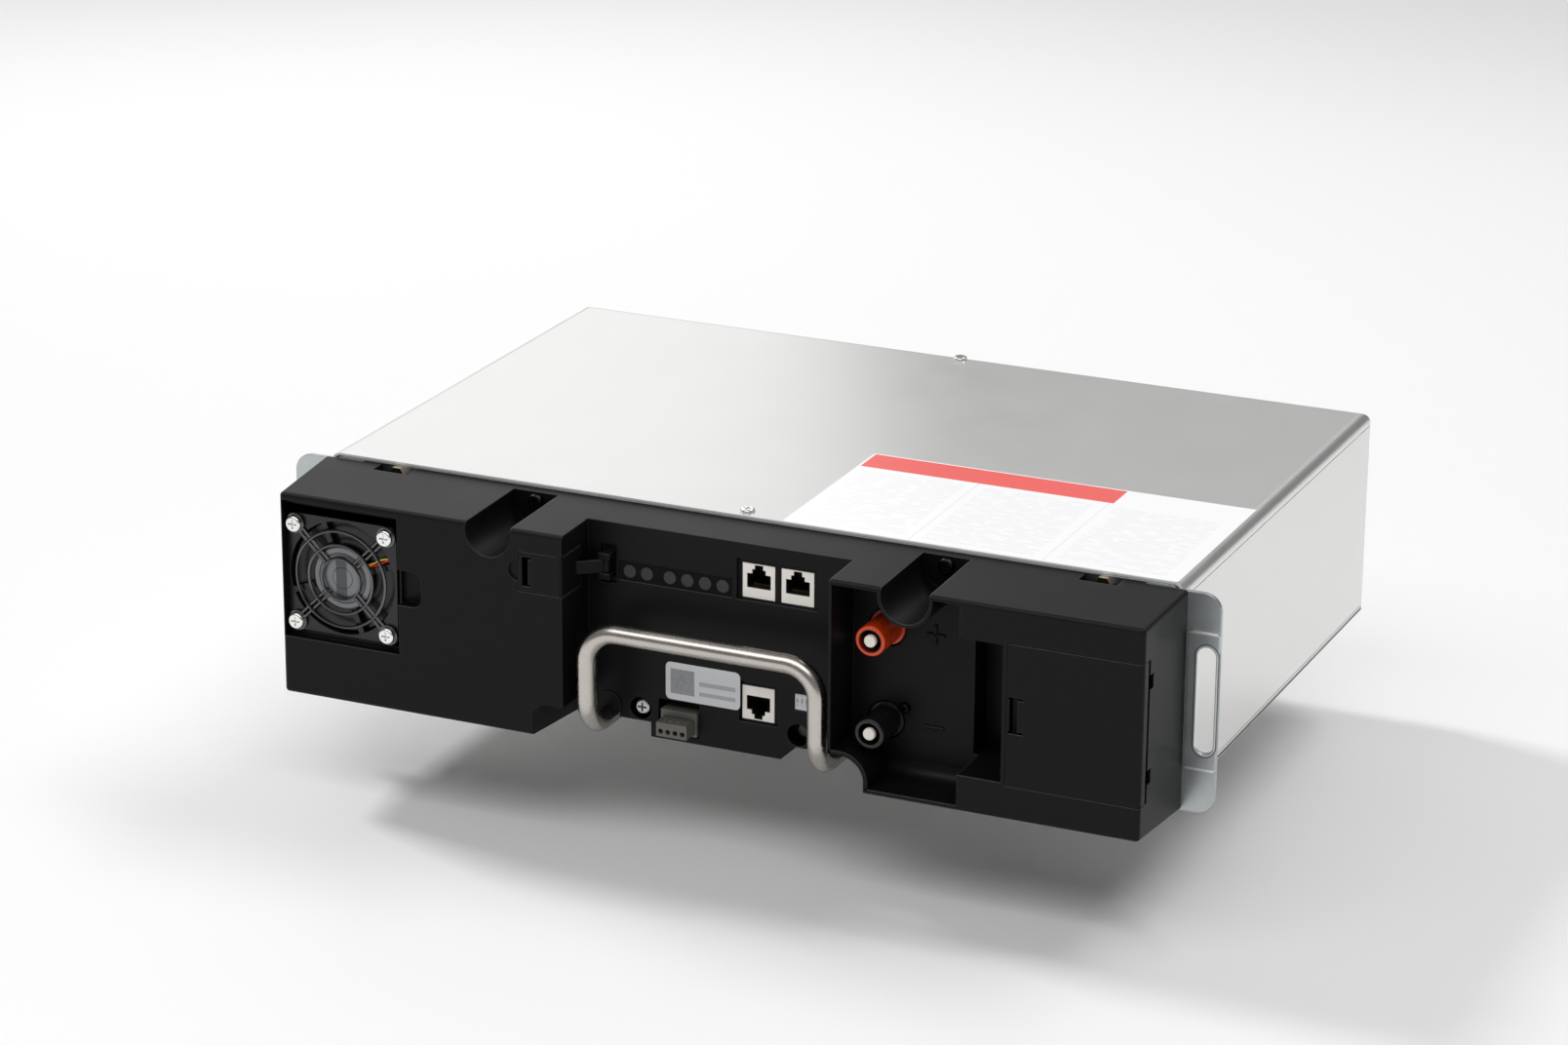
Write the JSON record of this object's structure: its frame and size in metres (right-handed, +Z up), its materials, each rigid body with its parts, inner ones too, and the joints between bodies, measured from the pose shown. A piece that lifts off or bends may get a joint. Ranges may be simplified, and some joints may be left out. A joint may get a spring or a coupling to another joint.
{
  "type": "rack-mount battery module",
  "caption": "Rack-mount battery module: flat steel case, black moulded front cover with fan, carry handle, sockets, power pins and corner doors.",
  "frame": {"origin": "centre of the steel case's underside", "axes": "+X to the right seen from the front, +Y to the back, +Z up"},
  "size_m": [0.484, 0.3366, 0.1122],
  "materials": {
    "black_moulding": "fine texture",
    "board_green": "solder mask",
    "bright_steel": "satin",
    "cap_white": "smooth",
    "ceramic": "ceramic",
    "contact_gold": "plated",
    "copper": "bare copper",
    "earth_brass": "passivated",
    "fan_black": "satin",
    "foam_grey": "foam",
    "guard_wire": "satin black",
    "jack_ivory": "smooth",
    "lamp_grey": "frosted",
    "liner_white": "sheet",
    "pouch_foil": "foil",
    "screw_steel": "bright",
    "sleeve_orange": "smooth",
    "stainless": "satin",
    "switch_white": "smooth",
    "terminal_grey": "smooth",
    "window_film": "satin",
    "zinc_steel": "zinc plated"
  },
  "bodies": {
    "module": {"top_cover": "bright_steel", "side_wrap": "bright_steel", "bottom_cover": "bright_steel", "top_cover_screws": "screw_steel", "front_plate": "zinc_steel", "right_rack_ear": "zinc_steel", "left_rack_ear": "zinc_steel", "ear_rivets": "zinc_steel", "front_cover": "black_moulding", "status_window": "window_film", "status_lamps": "lamp_grey", "fan_frame": "fan_black", "fan_guard": "guard_wire", "fan_screws": "screw_steel", "handle": "stainless", "handle_nuts": "screw_steel", "left_jack": "jack_ivory", "right_jack": "jack_ivory", "lower_jack": "jack_ivory", "jack_contacts": "contact_gold", "terminal_header": "terminal_grey", "terminal_plug": "terminal_grey", "clamp_screws": "screw_steel", "address_switch": "switch_white", "positive_sleeve": "sleeve_orange", "negative_sleeve": "fan_black", "positive_pin": "contact_gold", "negative_pin": "contact_gold", "pin_caps": "cap_white", "connector_screws": "screw_steel", "channel_screws": "screw_steel", "flange_screws": "screw_steel", "earth_screws": "earth_brass", "cells": "pouch_foil", "compression_pads": "foam_grey", "front_end_plate": "zinc_steel", "back_end_plate": "zinc_steel", "tie_rods": "screw_steel", "cell_links": "copper", "insulation_sheet": "liner_white", "management_board": "board_green", "board_supports": "screw_steel", "interface_board": "board_green", "interface_standoffs": "screw_steel", "main_fuse": "ceramic", "contactor": "fan_black", "current_shunt": "copper", "positive_bar": "copper", "negative_bar": "copper"},
    "rotor": {"fan_rotor": "fan_black"},
    "cable_door": {"cable_door": "black_moulding"},
    "comm_door": {"comm_door": "black_moulding"}
  },
  "joints": [
    {"name": "fan_spin", "type": "hinge", "parent": "module", "child": "rotor", "pos_m": [-0.188, -0.18375, 0.064], "axis": [0, 1, 0], "continuous": true},
    {"name": "cable_door_hinge", "type": "hinge", "parent": "module", "child": "cable_door", "pos_m": [0.22, -0.18555, 0.0534], "axis": [0, 0, 1], "range_deg": [0, 90]},
    {"name": "comm_door_hinge", "type": "hinge", "parent": "module", "child": "comm_door", "pos_m": [-0.056, -0.17105, 0.0844], "axis": [0, 0, 1], "range_deg": [0, 95]}
  ]
}
